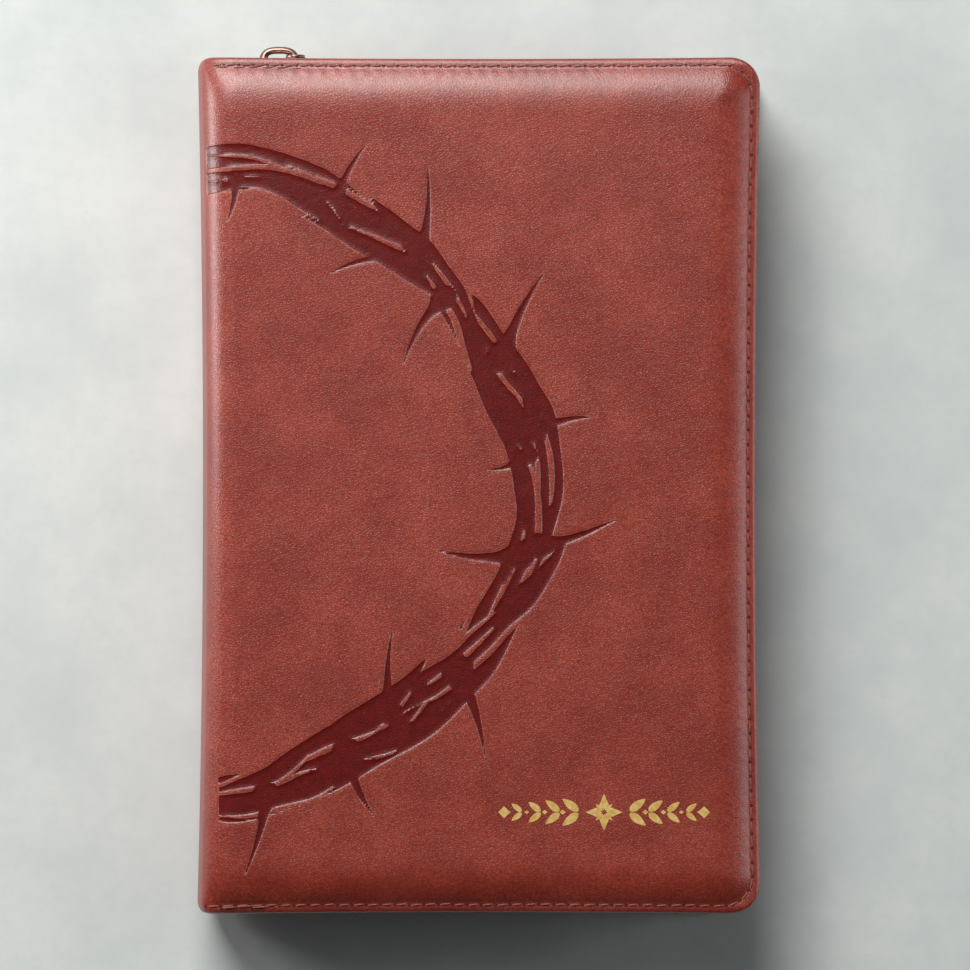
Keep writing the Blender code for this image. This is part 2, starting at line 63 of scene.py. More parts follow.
# The covers: a flat sewn rim that falls a little to its turned edge, then a padded middle.
COVER_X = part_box("front_skin")[0].x / MM - 0.3
RIM_DROP, RIM_FALL = 2.0, 0.5
LIP = 2.5
JOINT_LIP = 1.7
EDGE_R = 0.75
EDGE_STEPS = np.array([0.0, 0.25, 0.5, 0.8, 1.18, 1.6, 2.1, 2.5, 2.9, 3.35, 3.9, 4.8])
PAD_IN, PAD_SWELL = 2.5, 13.0
FRONT_PLUMP = 0.8
CORNER_ZONE, ZONE_STEP = 11.0, 0.55

# The shoulder between a cover and the spine, and the spine.
SHOULDER_L = 11.8
SPINE_X = -71.1
SPINE_SAG = 1.2
SPINE_RISE = 12.0
SPINE_FLARE = 1.4
SPINE_END_R = 3.5
SPINE_BASE = MID + SPINE_RISE + 0.3

# The pressed design: how far it reaches, how deep it lies, and where it stops at the shoulder.
DESIGN_X = 34.0
DESIGN_DEPTH = 0.16
DESIGN_CUT_X, DESIGN_CUT_SLOPE = -68.15, 0.0204

# The seam and its thread.
STITCH_IN, STITCH_PITCH = 2.0, 3.7
SEAM_R = 8.0
SEAM_START_X = -69.8
THREAD_R = 0.23
THREAD_STEPS, THREAD_SIDES = 9, 7
HOLE_RINGS = ((0.36, 0.06), (0.30, 0.09), (0.18, 0.04))
HOLE_SIDES = 12

# The zip.
TAPE_RINGS = 470
COIL_PITCH = 1.3
COIL_IN = 2.0
LOOP_STEPS = 12
LOOP_HALF_W, LOOP_HALF_H = 0.52, 1.75
CROWN_H, CROWN_R = 3.49, 0.92
CROWN_STEPS = 40

# Corners of a CAD piece nearer than this, in metres, are one.
WELD = 0.002 * MM


# -------------------------------- meshes

def new_mesh(name, verts, faces, uvw=None, smooth=True, values=None):
    """A mesh from points in mm. uvw is kept as the attribute "uvw", and the points themselves as "rest"."""
    verts = np.asarray(verts, float)
    mesh = bpy.data.meshes.new(name)
    mesh.from_pydata((verts * MM).tolist(), [], [list(map(int, f)) for f in faces])
    if smooth:
        mesh.shade_smooth()
    rest = mesh.attributes.new("rest", "FLOAT_VECTOR", "POINT")
    rest.data.foreach_set("vector", verts.astype(np.float32).ravel())
    if uvw is not None:
        along = mesh.attributes.new("uvw", "FLOAT_VECTOR", "POINT")
        along.data.foreach_set("vector", np.asarray(uvw, np.float32).ravel())
    for key, array in (values or {}).items():
        made = mesh.attributes.new(key, "FLOAT", "POINT")
        made.data.foreach_set("value", np.asarray(array, np.float32).ravel())
    mesh.update()
    obj = bpy.data.objects.new(name, mesh)
    bpy.context.scene.collection.objects.link(obj)
    return obj


def grid_faces(rows, cols, flip=False, closed=False):
    """Quads between rows x cols points. closed joins the last column to the first."""
    i, j = np.meshgrid(np.arange(rows - 1), np.arange(cols if closed else cols - 1), indexing="ij")
    k = (j + 1) % cols
    quads = np.stack([i * cols + j, i * cols + k, (i + 1) * cols + k, (i + 1) * cols + j], -1)
    quads = quads.reshape(-1, 4)
    return quads[:, ::-1] if flip else quads


def tube(points, radius, sides):
    """(verts, faces) of a round tube along points. radius is one number or one for each point."""
    points = np.asarray(points, float)
    count = len(points)
    ahead = np.roll(points, -1, 0) - np.roll(points, 1, 0)
    ahead[0], ahead[-1] = points[1] - points[0], points[-1] - points[-2]
    ahead /= np.linalg.norm(ahead, axis=1)[:, None] + 1e-12
    side = np.zeros_like(points)
    last = np.array([0.0, 0.0, 1.0]) if abs(ahead[0][2]) < 0.9 else np.array([1.0, 0.0, 0.0])
    for i in range(count):
        last = last - ahead[i] * (last @ ahead[i])
        last /= np.linalg.norm(last) + 1e-12
        side[i] = last
    up = np.cross(ahead, side)
    turn = np.arange(sides) * math.tau / sides
    radius = np.broadcast_to(np.asarray(radius, float), (count,))[:, None, None]
    ring = np.cos(turn)[:, None] * side[:, None, :] + np.sin(turn)[:, None] * up[:, None, :]
    verts = (points[:, None, :] + radius * ring).reshape(-1, 3)
    faces = [list(f) for f in grid_faces(count, sides, closed=True)]
    faces += [list(range(sides))[::-1], list(range((count - 1) * sides, count * sides))]
    return verts, faces


def joined(parts):
    """One (verts, faces) from several."""
    verts, faces, start = [], [], 0
    for v, f in parts:
        verts.append(np.asarray(v, float))
        faces += [[int(i) + start for i in face] for face in f]
        start += len(v)
    return np.concatenate(verts), faces


def smoothstep(x, low, high):
    t = np.clip((x - low) / (high - low), 0, 1)
    return t * t * (3 - 2 * t)


def lumps(x, y, size, seed):
    """Smooth value noise, about -1 to 1, with bumps of this size in mm."""
    made = np.random.default_rng(seed)
    table = made.uniform(-1, 1, (64, 64))
    total, weight = np.zeros(np.broadcast(x, y).shape), 0
    for octave in range(3):
        scale = 2 ** octave / size
        px, py = x * scale + 17.3 * octave, y * scale + 5.1 * octave
        ix, iy = np.floor(px).astype(int), np.floor(py).astype(int)
        fx, fy = smoothstep(px - ix, 0, 1), smoothstep(py - iy, 0, 1)
        corner = [table[(ix + i) % 64, (iy + j) % 64] for i in (0, 1) for j in (0, 1)]
        low = corner[0] * (1 - fy) + corner[1] * fy
        high = corner[2] * (1 - fy) + corner[3] * fy
        total += (low * (1 - fx) + high * fx) / 2 ** octave
        weight += 1 / 2 ** octave
    return total / weight


# -------------------------------- the case's shape

def waisted(x, y):
    along_y = 1 - (y / HALF_H) ** 2
    along_x = 1 - (x / HALF_W) ** 2
    fore = WAIST_FORE * np.maximum(x / HALF_W, 0) ** 2 * along_y
    return x - fore, y - WAIST_HEAD * (y / HALF_H) * along_x


def pad_depth(inset, plump):
    """How far the leather lies below the cover's top: a flat rim, then a swell to plump mm above it."""
    fall = (1 - np.clip((inset - PAD_IN) / PAD_SWELL, 0, 1)) ** 3
    return (RIM_DROP + plump) * fall - plump


def unevenness(x, y):
    """How far the padded leather stands above its even swell."""
    return 0.14 * lumps(x, y, 34, 3) + 0.035 * lumps(x, y, 9, 5)


def rounded_inset(ex, ey, start):
    """Distance past a line that runs this far inside the edges and turns the corners like the seam."""
    px, py = SEAM_R + start - ex, SEAM_R + start - ey
    return np.where((px > 0) & (py > 0), SEAM_R - np.hypot(px, py), np.minimum(ex, ey) - start)


def flare(y):
    end = np.clip((np.abs(y) - (HALF_H - SPINE_END_R)) / SPINE_END_R, 0, 1)
    rounding = SPINE_END_R * (1 - np.sqrt(np.maximum(1 - end * end, 0)))
    return rounding * 0.6 - SPINE_FLARE * (y / HALF_H) ** 2


def edge_profile(w, thick):
    """(inset, drop) at a distance round the turned edge."""
    quarter = math.pi / 2 * EDGE_R
    side = thick - 2 * EDGE_R
    a = np.clip(w, 0, quarter) / EDGE_R
    inset = EDGE_R * (1 - np.sin(a))
    drop = EDGE_R * (1 - np.cos(a))
    drop = drop + np.clip(w - quarter, 0, side)
    b = np.clip(w - quarter - side, 0, quarter) / EDGE_R
    inset = inset + EDGE_R * (1 - np.cos(b))
    drop = drop + EDGE_R * np.sin(b)
    return inset + np.clip(w - 2 * quarter - side, 0, None), drop


def stops(low, high, step):
    return np.linspace(low, high, max(2, int(round((high - low) / step)) + 1))


def case_points(pitch, fine, plump):
    """The outer leather over one cover, its joint and half the spine, as a grid of points.

    Columns run from the spine's middle to the fore-edge and round it, rows from tail to head. The
    pressed design's part of the cover has columns that are fine mm apart.
    """
    x_end, y_end = HALF_W - EDGE_R, HALF_H - EDGE_R
    left = COVER_X - SHOULDER_L - SPINE_RISE - 0.3
    cols = [stops(left, COVER_X - SHOULDER_L, 1.2)[:-1]]
    cols.append(stops(COVER_X - SHOULDER_L, DESIGN_X, fine)[:-1])
    cols.append(stops(DESIGN_X, x_end - CORNER_ZONE, 2 * pitch)[:-1])
    cols.append(stops(x_end - CORNER_ZONE, x_end, ZONE_STEP))
    cols.append(x_end + EDGE_STEPS[1:])
    cols = np.concatenate(cols)
    half = [stops(0, y_end - CORNER_ZONE, pitch)[:-1], stops(y_end - CORNER_ZONE, y_end, ZONE_STEP)]
    half = np.concatenate([*half, y_end + EDGE_STEPS[1:]])
    rows = np.concatenate([-half[:0:-1], half])
    b, a = np.meshgrid(rows, cols, indexing="ij")
    sign = np.where(b < 0, -1.0, 1.0)
    dx, dy = x_end - a, y_end - np.abs(b)
    d, t = np.minimum(dx, dy), np.abs(dx - dy)
    wrap = np.maximum(-d, 0)
    thick = JOINT_LIP + (LIP - JOINT_LIP) * smoothstep(a, COVER_X - 8, COVER_X)
    edge_inset, drop = edge_profile(wrap, thick)
    inset = np.where(d >= 0, EDGE_R + d, edge_inset)
    drop = np.where(d >= 0, 0, drop)
    radius = np.maximum(CORNER_R - inset, 1.2)
    zone = np.where(d >= 0, radius, wrap + CORNER_R - EDGE_R)
    turn = math.pi / 4 * np.clip(1 - t / zone, 0, 1)
    cx, cy = HALF_W - inset - radius, HALF_H - inset - radius
    head = dy <= dx
    arc = t < zone
    x = np.where(head, np.where(arc, cx + radius * np.sin(turn), a),
                 np.where(arc, cx + radius * np.cos(turn), HALF_W - inset))
    y = np.where(head, np.where(arc, cy + radius * np.cos(turn), HALF_H - inset),
                 np.where(arc, cy + radius * np.sin(turn), np.abs(b)))
    ex, ey = HALF_W - x, HALF_H - y
    level, far = np.minimum(ex, ey), np.maximum(ex, ey)
    past_seam = rounded_inset(ex, ey, STITCH_IN)
    y = y * sign
    x, y = waisted(x, y)

    depth = np.where(d >= 0, pad_depth(STITCH_IN + past_seam, plump), RIM_DROP)
    depth += 0.16 * np.exp(-(past_seam / 0.42) ** 2) * (d >= 0)
    depth += RIM_FALL * (1 - smoothstep(level, 0.0, 1.95))
    along = np.where(head, x, y)
    pucker = np.cos(math.tau * along / STITCH_PITCH) * np.exp(-((level - 3.5) / 0.9) ** 2)
    depth -= (0.04 + 0.03 * lumps(x, y, 18, 9)) * pucker * (d >= 0) * smoothstep(far, 9, 14)
    depth -= smoothstep(level, 3, 9) * unevenness(x, y)

    # Over the shoulder and down the spine.
    u = COVER_X - a
    angle = math.pi / 2 * np.clip(1 - u / SHOULDER_L, 0, 1)
    down = np.clip(u - SHOULDER_L, 0, None)
    width = COVER_X - (SPINE_X + SPINE_SAG) - flare(y)
    rise = THICK - depth - SPINE_BASE
    over = u > 0
    sx = COVER_X - width * np.cos(angle)
    sz = SPINE_BASE + rise * np.sin(angle)
    nx, nz = -rise * np.cos(angle), width * np.sin(angle)
    size = np.hypot(nx, nz)
    nx, nz = nx / size, nz / size
    bulge = SPINE_SAG * (1 - ((SPINE_RISE - down) / SPINE_RISE) ** 2)
    sx = sx - np.where(down > 0, np.clip(bulge, 0, None), 0)
    sz = sz - down
    x = np.where(over, sx - nx * drop, x)
    z = np.where(over, sz - nz * drop, THICK - depth - drop)
    return x, y, z


# -------------------------------- the thorn wreath, an own design

WREATH_C = (-84.0, 0.5)
WREATH_RX, WREATH_RY = 97.0, 79.0
STEM_STEPS, THORN_STEPS = 48, 16


def wreath_line(s, across=0.0):
    """A point on the wreath. s runs 0 to 1 from the head end round to the tail end."""
    angle = math.radians(82 - 164 * s)
    sag = 2.2 * math.sin(math.tau * 2.2 * s + 0.6) + 1.1 * math.sin(math.tau * 4.3 * s)
    rx, ry = WREATH_RX + across + sag, WREATH_RY + across + sag
    c, k = math.cos(angle), math.sin(angle)
    return (WREATH_C[0] + rx * c, WREATH_C[1] + ry * math.copysign(abs(k) ** 0.93, k))


def stroke_field(px, py, points, radii):
    """For each place: its signed distance to a stroke of changing width, its share along it, its side."""
    best, share, side = np.full(px.shape, 1e3), np.zeros(px.shape), np.zeros(px.shape)
    count = len(points) - 1
    for i, ((x0, y0), (x1, y1)) in enumerate(zip(points, points[1:])):
        r0, r1 = radii[i], radii[i + 1]
        vx, vy = x1 - x0, y1 - y0
        t = np.clip(((px - x0) * vx + (py - y0) * vy) / (vx * vx + vy * vy + 1e-9), 0, 1)
        away = np.hypot(px - x0 - t * vx, py - y0 - t * vy) - (r0 + (r1 - r0) * t)
        nearer = away < best
        best = np.where(nearer, away, best)
        share = np.where(nearer, (i + t) / count, share)
        side = np.where(nearer, np.sign(vx * (py - y0) - vy * (px - x0)), side)
    return best, share, side


def stem(start, end, from_across, to_across, width, bow, phase):
    """A stem that crosses the wreath's line at a slant. Both its ends run out to a point."""
    points, radii = [], []
    for i in range(STEM_STEPS + 1):
        k = i / STEM_STEPS
        across = from_across + (to_across - from_across) * k + bow * math.sin(math.pi * k)
        points.append(wreath_line(start + (end - start) * k, across))
        full = min(1, (k / 0.22) ** 0.8, ((1 - k) / 0.22) ** 0.8)
        knots = 1 + 0.16 * math.sin(phase + 9 * k) + 0.07 * math.sin(phase + 31 * k)
        radii.append(0.12 + 1.15 * width * full * knots)
    return points, radii


def thorn(s, side, length, lean, base, bow):
    """A tapering thorn that grows from the wreath.

    side is 1 outwards and -1 inwards, and lean tips it along the wreath.
    """
    x0, y0 = wreath_line(s, side * 2.0)
    x1, y1 = wreath_line(s + 0.004, side * 2.0)
    size = math.hypot(x1 - x0, y1 - y0)
    ax, ay = (x1 - x0) / size, (y1 - y0) / size
    ox, oy = side * -ay, side * ax
    if (ox * (x0 - WREATH_C[0]) + oy * (y0 - WREATH_C[1])) * side < 0:
        ox, oy = -ox, -oy
    points, radii = [], []
    for i in range(THORN_STEPS + 1):
        k = i / THORN_STEPS
        along = lean * length * k + bow * math.sin(math.pi * k)
        points.append((x0 + ox * length * k + ax * along, y0 + oy * length * k + ay * along))
        radii.append(0.2 + base * ((1 - k) ** 1.2 * 0.85 + max(0, 1 - k / 0.35) ** 2 * 1.1))
    return points, radii


THORNS = [
    # place along the wreath, side, length, lean, width at the base, bow
    (0.03, -1, 11, -0.15, 1.1, 0.6), (0.125, 1, 15, -0.10, 1.2, -0.8), (0.225, 1, 20, -0.62, 1.9, 1.2),
    (0.20, -1, 13, -0.75, 1.0, -0.8), (0.275, -1, 19, 0.25, 1.7, -1.4), (0.365, 1, 19, -0.78, 2.0, -1.2),
    (0.45, 1, 16, 0.14, 1.6, -0.9), (0.475, -1, 11, 0.08, 1.2, 0.8), (0.56, 1, 16, -0.85, 1.7, 1.0),
    (0.575, -1, 20, 0.42, 1.9, 1.2), (0.72, 1, 19, 0.62, 2.2, -1.2), (0.80, -1, 17, -0.65, 1.8, 1.0),
    (0.86, 1, 18, 0.10, 1.9, 1.1), (0.945, 1, 17, 0.72, 1.7, -1.0),
]
STEMS = [
    # start, end, across at the start, across at the end, width, bow, phase
    (-0.10, 1.10, 0.0, 0.0, 2.9, 1.0, 0.3),
    (-0.06, 0.36, 4.5, -3.0, 2.9, 2.0, 1.9), (0.26, 0.74, -4.0, 3.5, 3.1, -2.0, 4.0),
    (0.60, 1.08, 5.0, -1.0, 3.7, 2.5, 2.2), (-0.09, 0.24, -5.5, 4.5, 2.4, -0.5, 0.9),
    (0.10, 0.47, -6.5, 5.5, 2.5, 1.0, 3.3), (0.15, 0.41, 7.0, -6.5, 2.3, 0.5, 5.2),
    (0.36, 0.68, 6.0, -4.5, 2.7, 1.5, 0.1), (0.42, 0.83, -6.5, 6.5, 2.6, -1.0, 2.8),
    (0.55, 0.86, 7.5, -6.5, 2.6, 0.0, 1.2), (0.73, 1.09, -6.5, 5.0, 3.0, 0.5, 4.4),
    (0.76, 1.02, 6.5, -5.5, 2.3, 1.0, 0.7),
    (-0.14, 0.17, 7.5, -5.0, 2.3, 0.0, 2.0), (-0.14, 0.14, -8.0, 2.0, 2.2, 0.0, 5.0),
    (0.86, 1.14, -6.0, 6.5, 2.4, 0.5, 3.0), (0.84, 1.14, 7.0, -4.0, 2.6, 0.0, 1.1),
]
# Lens-shaped openings: on which stem, on which side (0 is its middle), from and to which share, and how wide.
OPENINGS = [
    (1, 1, 0.20, 0.62, 0.8), (1, -1, 0.45, 0.90, 1.0), (1, 0, 0.30, 0.55, 0.35),
    (2, 1, 0.10, 0.60, 1.1), (2, -1, 0.35, 0.92, 0.8), (2, 0, 0.42, 0.70, 0.45),
    (3, 1, 0.10, 0.48, 0.8), (3, -1, 0.30, 0.80, 0.9), (3, 0, 0.28, 0.46, 0.5), (3, 0, 0.60, 0.84, 0.35),
    (4, 1, 0.25, 0.85, 1.0), (4, -1, 0.30, 0.70, 0.6), (5, 1, 0.12, 0.72, 1.0), (5, -1, 0.40, 0.95, 0.8),
    (5, 0, 0.45, 0.78, 0.4), (6, 1, 0.15, 0.60, 0.8), (6, -1, 0.35, 0.85, 1.1), (7, 1, 0.12, 0.55, 0.9),
    (7, -1, 0.30, 0.86, 1.0), (8, 1, 0.10, 0.66, 1.1), (8, -1, 0.45, 0.92, 0.8), (8, 0, 0.30, 0.58, 0.45),
    (9, 1, 0.15, 0.70, 0.9), (9, -1, 0.30, 0.80, 0.8), (10, 1, 0.10, 0.60, 1.0), (10, -1, 0.30, 0.70, 0.6),
    (10, 0, 0.40, 0.62, 0.5), (11, 1, 0.20, 0.75, 0.7), (11, -1, 0.25, 0.60, 0.9),
    (6, 0, 0.30, 0.62, 0.4), (7, 0, 0.25, 0.52, 0.45), (9, 0, 0.35, 0.66, 0.4), (12, 1, 0.45, 0.90, 0.5),
    (12, -1, 0.42, 0.85, 0.6), (13, 1, 0.42, 0.86, 0.7), (13, 0, 0.50, 0.72, 0.3), (14, 1, 0.12, 0.52, 0.6),
    (14, -1, 0.20, 0.56, 0.5), (15, 1, 0.14, 0.50, 0.6), (15, -1, 0.18, 0.55, 0.7),
]


def lens(share, start, end, wide):
    """Half the width of an opening. It starts and ends with a blunt end."""
    t = np.clip((share - start) / (end - start), 0, 1)
    return np.where((t > 0.02) & (t < 0.98), 0.3 + 1.35 * wide * np.sin(math.pi * t) ** 0.8, 0)


def wreath_field(px, py):
    """Signed distance in mm to the pressed design: below 0 inside it."""
    field = np.full(px.shape, 1e3)
    near = (px < 36) & (np.abs(py) < 104)
    x, y = px[near], py[near]
    inside = np.full(x.shape, 1e3)
    for k, settings in enumerate(STEMS):
        points, radii = stem(*settings)
        over, share, side = stroke_field(x, y, points, radii)
        gap = np.zeros(x.shape)
        middle = np.full(x.shape, 1e3)
        for which, at_side, start, end, wide in OPENINGS:
            if which != k:
                continue
            if at_side:
                gap = np.maximum(gap, lens(share, start, end, wide) * (side == at_side))
            else:
                line = [point for i, point in enumerate(points) if start <= i / STEM_STEPS <= end]
                spread = [0.24 + wide * math.sin(math.pi * j / (len(line) - 1)) for j in range(len(line))]
                middle = np.minimum(middle, stroke_field(x, y, line, spread)[0])
        below = np.maximum(inside, np.where(gap > 0.04, gap - over, -1e3))
        inside = np.minimum(below, np.maximum(over, -middle))
    for settings in THORNS:
        inside = np.minimum(inside, stroke_field(x, y, *thorn(*settings))[0])
    cut = DESIGN_CUT_X - DESIGN_CUT_SLOPE * y - x
    field[near] = np.maximum(inside, cut)
    return np.clip(field, -3, 3)


# -------------------------------- node materials

class Graph:
    """A Principled material built from nodes. Sockets are given as values or as other nodes' outputs."""

    def __init__(self, name):
        self.material = bpy.data.materials.new(name)
        self.material.use_nodes = True
        self.nodes = self.material.node_tree.nodes
        self.links = self.material.node_tree.links
        self.shader = self.nodes["Principled BSDF"]

    def put(self, node, socket, value):
        target = node.inputs[socket]
        if isinstance(value, bpy.types.NodeSocket):
            self.links.new(value, target)
        elif isinstance(value, tuple) and len(value) == 3 and target.type == "RGBA":
            target.default_value = (*value, 1)
        else:
            target.default_value = value

    def add(self, kind, settings=None, **inputs):
        node = self.nodes.new("ShaderNode" + kind)
        for key, value in (settings or {}).items():
            setattr(node, key, value)
        for key, value in inputs.items():
            self.put(node, int(key[1:]) if key[0] == "_" else key.replace("_", " "), value)
        return node

    def attribute(self, name, output="Vector"):
        return self.add("Attribute", {"attribute_name": name}).outputs[output]

    def stretched(self, where, stretch):
        return self.add("VectorMath", {"operation": "MULTIPLY"}, _0=where, _1=stretch).outputs[0]

    def rest(self, stretch=(1, 1, 1), name="rest"):
        return self.stretched(self.attribute(name), stretch)

    def object_mm(self):
        where = self.add("TexCoord").outputs["Object"]
        return self.add("VectorMath", {"operation": "SCALE"}, _0=where, Scale=1 / MM).outputs[0]

    def axis(self, where, number):
        return self.add("SeparateXYZ", Vector=where).outputs[number]

    def noise(self, where, scale, detail=4, rough=0.55, warp=0.0):
        settings = {"Scale": scale, "Detail": detail, "Roughness": rough, "Distortion": warp}
        return self.add("TexNoise", Vector=where, **settings).outputs["Fac"]

    def cells(self, where, scale, feature="F1"):
        made = self.add("TexVoronoi", {"feature": feature}, Vector=where, Scale=scale)
        return made.outputs["Distance"]

    def math(self, operation, a, b=0.0):
        return self.add("Math", {"operation": operation}, _0=a, _1=b).outputs[0]

    def span(self, value, low, high, to_low=0.0, to_high=1.0):
        made = self.add("MapRange", {"interpolation_type": "SMOOTHSTEP"}, Value=value)
        ends = {"From Min": low, "From Max": high, "To Min": to_low, "To Max": to_high}
        for key, number in ends.items():
            made.inputs[key].default_value = number
        return made.outputs[0]

    def between(self, amount, a, b):
        """A number from a to b."""
        return self.add("Mix", _0=amount, _2=a, _3=b).outputs[0]

    def mix(self, amount, a, b):
        made = self.add("Mix", {"data_type": "RGBA"}, _0=amount)
        self.put(made, 6, a)
        self.put(made, 7, b)
        return made.outputs[2]

    def bump(self, height, strength, distance, normal=None):
        made = self.add("Bump", Height=height, Strength=strength, Distance=distance * MM)
        if normal is not None:
            self.put(made, "Normal", normal)
        return made.outputs[0]

    def set(self, **inputs):
        for key, value in inputs.items():
            self.put(self.shader, key.replace("_", " "), value)
        return self.material


def srgb(*colour):
    """A linear colour from levels of 0 to 255."""
    shares = [c / 255 for c in colour]
    return tuple(c / 12.92 if c <= 0.04045 else ((c + 0.055) / 1.055) ** 2.4 for c in shares)


COAT, PRESSED_COAT = 0.45, 0.12
SPINE_ROUGH, PRESSED_ROUGH = 0.6, 0.30


def leather_material(name, pressed):
    """Mottled, finely grained leather. pressed adds the dark design that the attribute "art" outlines."""
    g = Graph(name)
    p = g.rest()
    cloud = g.noise(p, 0.05, 6, 0.62, 0.15)
    patch = g.noise(p, 0.16, 4, 0.6)
    grain_tone = g.noise(p, 1.25, 4, 0.75)
    base = g.mix(g.span(cloud, 0.28, 0.72), srgb(146, 44, 27), srgb(177, 70, 49))
    base = g.mix(g.span(patch, 0.35, 0.8, 0, 0.45), base, srgb(138, 42, 28))
    base = g.mix(g.span(grain_tone, 0.38, 0.66, 0, 0.62), base, srgb(108, 31, 21))
    speck = g.math("LESS_THAN", g.cells(p, 0.09), 0.035)
    base = g.mix(g.math("MULTIPLY", speck, 0.5), base, srgb(74, 26, 22))
    # Fine pebbles with creases between them, over shallow wrinkles.
    drift = g.add("TexNoise", Vector=p, Scale=0.9, Detail=2.0).outputs["Color"]
    warped = g.add("VectorMath", {"operation": "MULTIPLY_ADD"}, _0=drift, _1=(0.8, 0.8, 0.8), _2=p)
    pebble = g.span(g.cells(warped.outputs[0], 1.55, "DISTANCE_TO_EDGE"), 0.0, 0.32)
    fine = g.noise(p, 5.0, 3, 0.6)
    wrinkle = g.noise(g.rest((0.55, 0.16, 0.55)), 1.0, 5, 0.7, 1.2)
    base = g.mix(g.span(pebble, 0, 0.4, 0.42, 0), base, srgb(88, 30, 24))
    height = g.math("ADD", g.math("MULTIPLY", pebble, 0.6), g.math("MULTIPLY", fine, 0.25))
    rough = g.span(g.noise(p, 0.3, 4, 0.6), 0.25, 0.8, 0.33, 0.42)
    rough = g.between(g.span(g.axis(p, 0), -68.5, -71.0), rough, SPINE_ROUGH)
    coat = COAT
    if pressed:
        field = g.attribute("art", "Fac")
        inside = g.span(field, 0.07, -0.07)
        # A painted highlight: a pale, broken line along the design's outlines, where its pressed edges would
        # catch the light.
        line = g.math("MULTIPLY", g.span(field, 0.30, 0.08), g.span(field, -0.10, 0.06))
        dark = g.mix(g.span(g.noise(p, 0.5, 4, 0.6), 0.3, 0.75), srgb(88, 4, 1), srgb(104, 8, 3))
        base = g.mix(inside, base, dark)
        painted_glint = g.math("MULTIPLY", line, g.span(g.noise(p, 0.35, 3), 0.35, 0.7, 0.0, 0.4))
        base = g.mix(painted_glint, base, srgb(196, 138, 122))
        rough = g.between(inside, rough, PRESSED_ROUGH)
        coat = g.between(inside, COAT, PRESSED_COAT)
        height = g.between(inside, height, g.math("MULTIPLY", height, 0.45))
    normal = g.bump(height, 0.62, 0.09)
    normal = g.bump(wrinkle, 0.42, 0.16, normal)
    if pressed:
        normal = g.bump(g.span(field, -0.22, 0.10), 0.6, 0.2, normal)
    return g.set(Base_Color=base, Roughness=rough, Normal=normal, Specular_IOR_Level=0.68,
                 Coat_Weight=coat, Coat_Roughness=0.30)


def thread_material():
    g = Graph("thread")
    bands = {"wave_type": "BANDS", "bands_direction": "DIAGONAL"}
    along = g.rest(name="uvw")
    twist = g.add("TexWave", bands, Vector=along, Scale=1.0, Distortion=0.4).outputs["Fac"]
    tone = g.noise(g.rest(), 0.8, 2)
    base = g.mix(g.span(twist, 0.2, 0.9), srgb(132, 66, 58), srgb(184, 116, 104))
    base = g.mix(g.span(tone, 0.35, 0.7, 0, 0.4), base, srgb(128, 64, 56))
    return g.set(Base_Color=base, Roughness=0.38, Normal=g.bump(twist, 0.6, 0.15), Sheen_Weight=0.2)


def plain_noise_material(name, low, high, scale, rough, bump=0.2, depth=0.05):
    g = Graph(name)
    where = g.object_mm()
    grain = g.noise(where, scale, 5, 0.6)
    fine = g.noise(where, scale * 7, 3, 0.6)
    base = g.mix(g.span(grain, 0.3, 0.7), low, high)
    roughness = g.span(g.noise(where, scale * 0.6, 4), 0.25, 0.75, rough - 0.06, rough + 0.08)
    normal = g.bump(fine, bump, depth)
    return g.set(Base_Color=base, Roughness=roughness, Normal=normal)


def weave_material(name, low, high, warp_pitch, weft_pitch, sheen=0.3):
    """Woven cloth. uvw holds mm along and across the strip."""
    g = Graph(name)
    along = g.attribute("uvw")
    u = g.math("MULTIPLY", g.axis(along, 0), math.tau / warp_pitch)
    v = g.math("MULTIPLY", g.axis(along, 1), math.tau / weft_pitch)
    over = g.math("MULTIPLY", g.math("SINE", u), g.math("SINE", v))
    rib = g.math("MULTIPLY", g.math("COSINE", g.math("MULTIPLY", v, 2.0)), 0.35)
    height = g.math("ADD", over, rib)
    tone = g.noise(g.rest(), 0.6, 4)
    base = g.mix(g.span(height, -0.9, 0.9), low, high)
    base = g.mix(g.span(tone, 0.35, 0.7, 0, 0.3), base, low)
    return g.set(Base_Color=base, Roughness=0.85, Normal=g.bump(height, 0.7, 0.12), Sheen_Weight=sheen)


def coil_material():
    g = Graph("coil")
    tone = g.noise(g.rest(), 0.8, 3)
    base = g.mix(g.span(tone, 0.3, 0.7), srgb(70, 22, 19), srgb(96, 34, 29))
    return g.set(Base_Color=base, Roughness=0.38, Normal=g.bump(g.noise(g.rest(), 9.0, 2), 0.15, 0.03))


def metal_material():
    g = Graph("antique metal")
    where = g.object_mm()
    worn = g.noise(where, 0.9, 5, 0.65)
    scratch = g.noise(g.stretched(where, (0.6, 7.0, 7.0)), 1.2, 3)
    edge = g.span(g.add("NewGeometry").outputs["Pointiness"], 0.51, 0.60)
    base = g.mix(g.span(worn, 0.35, 0.7), srgb(112, 82, 76), srgb(150, 116, 108))
    base = g.mix(g.math("MULTIPLY", edge, 0.6), base, srgb(226, 196, 180))
    rough = g.span(worn, 0.3, 0.75, 0.28, 0.42)
    return g.set(Base_Color=base, Metallic=1.0, Roughness=rough, Normal=g.bump(scratch, 0.12, 0.03))


def foil_material():
    g = Graph("gold foil")
    p = g.rest()
    tone = g.noise(p, 0.7, 4, 0.6)
    crackle = g.noise(p, 4.0, 4, 0.7)
    base = g.mix(g.span(tone, 0.3, 0.7), srgb(226, 178, 92), srgb(250, 218, 140))
    base = g.mix(g.span(crackle, 0.62, 0.8, 0, 0.35), base, srgb(150, 104, 50))
    rough = g.span(crackle, 0.3, 0.8, 0.26, 0.46)
    return g.set(Base_Color=base, Metallic=0.3, Roughness=rough, Normal=g.bump(crackle, 0.2, 0.03))


LEAF_LINES = 0.27


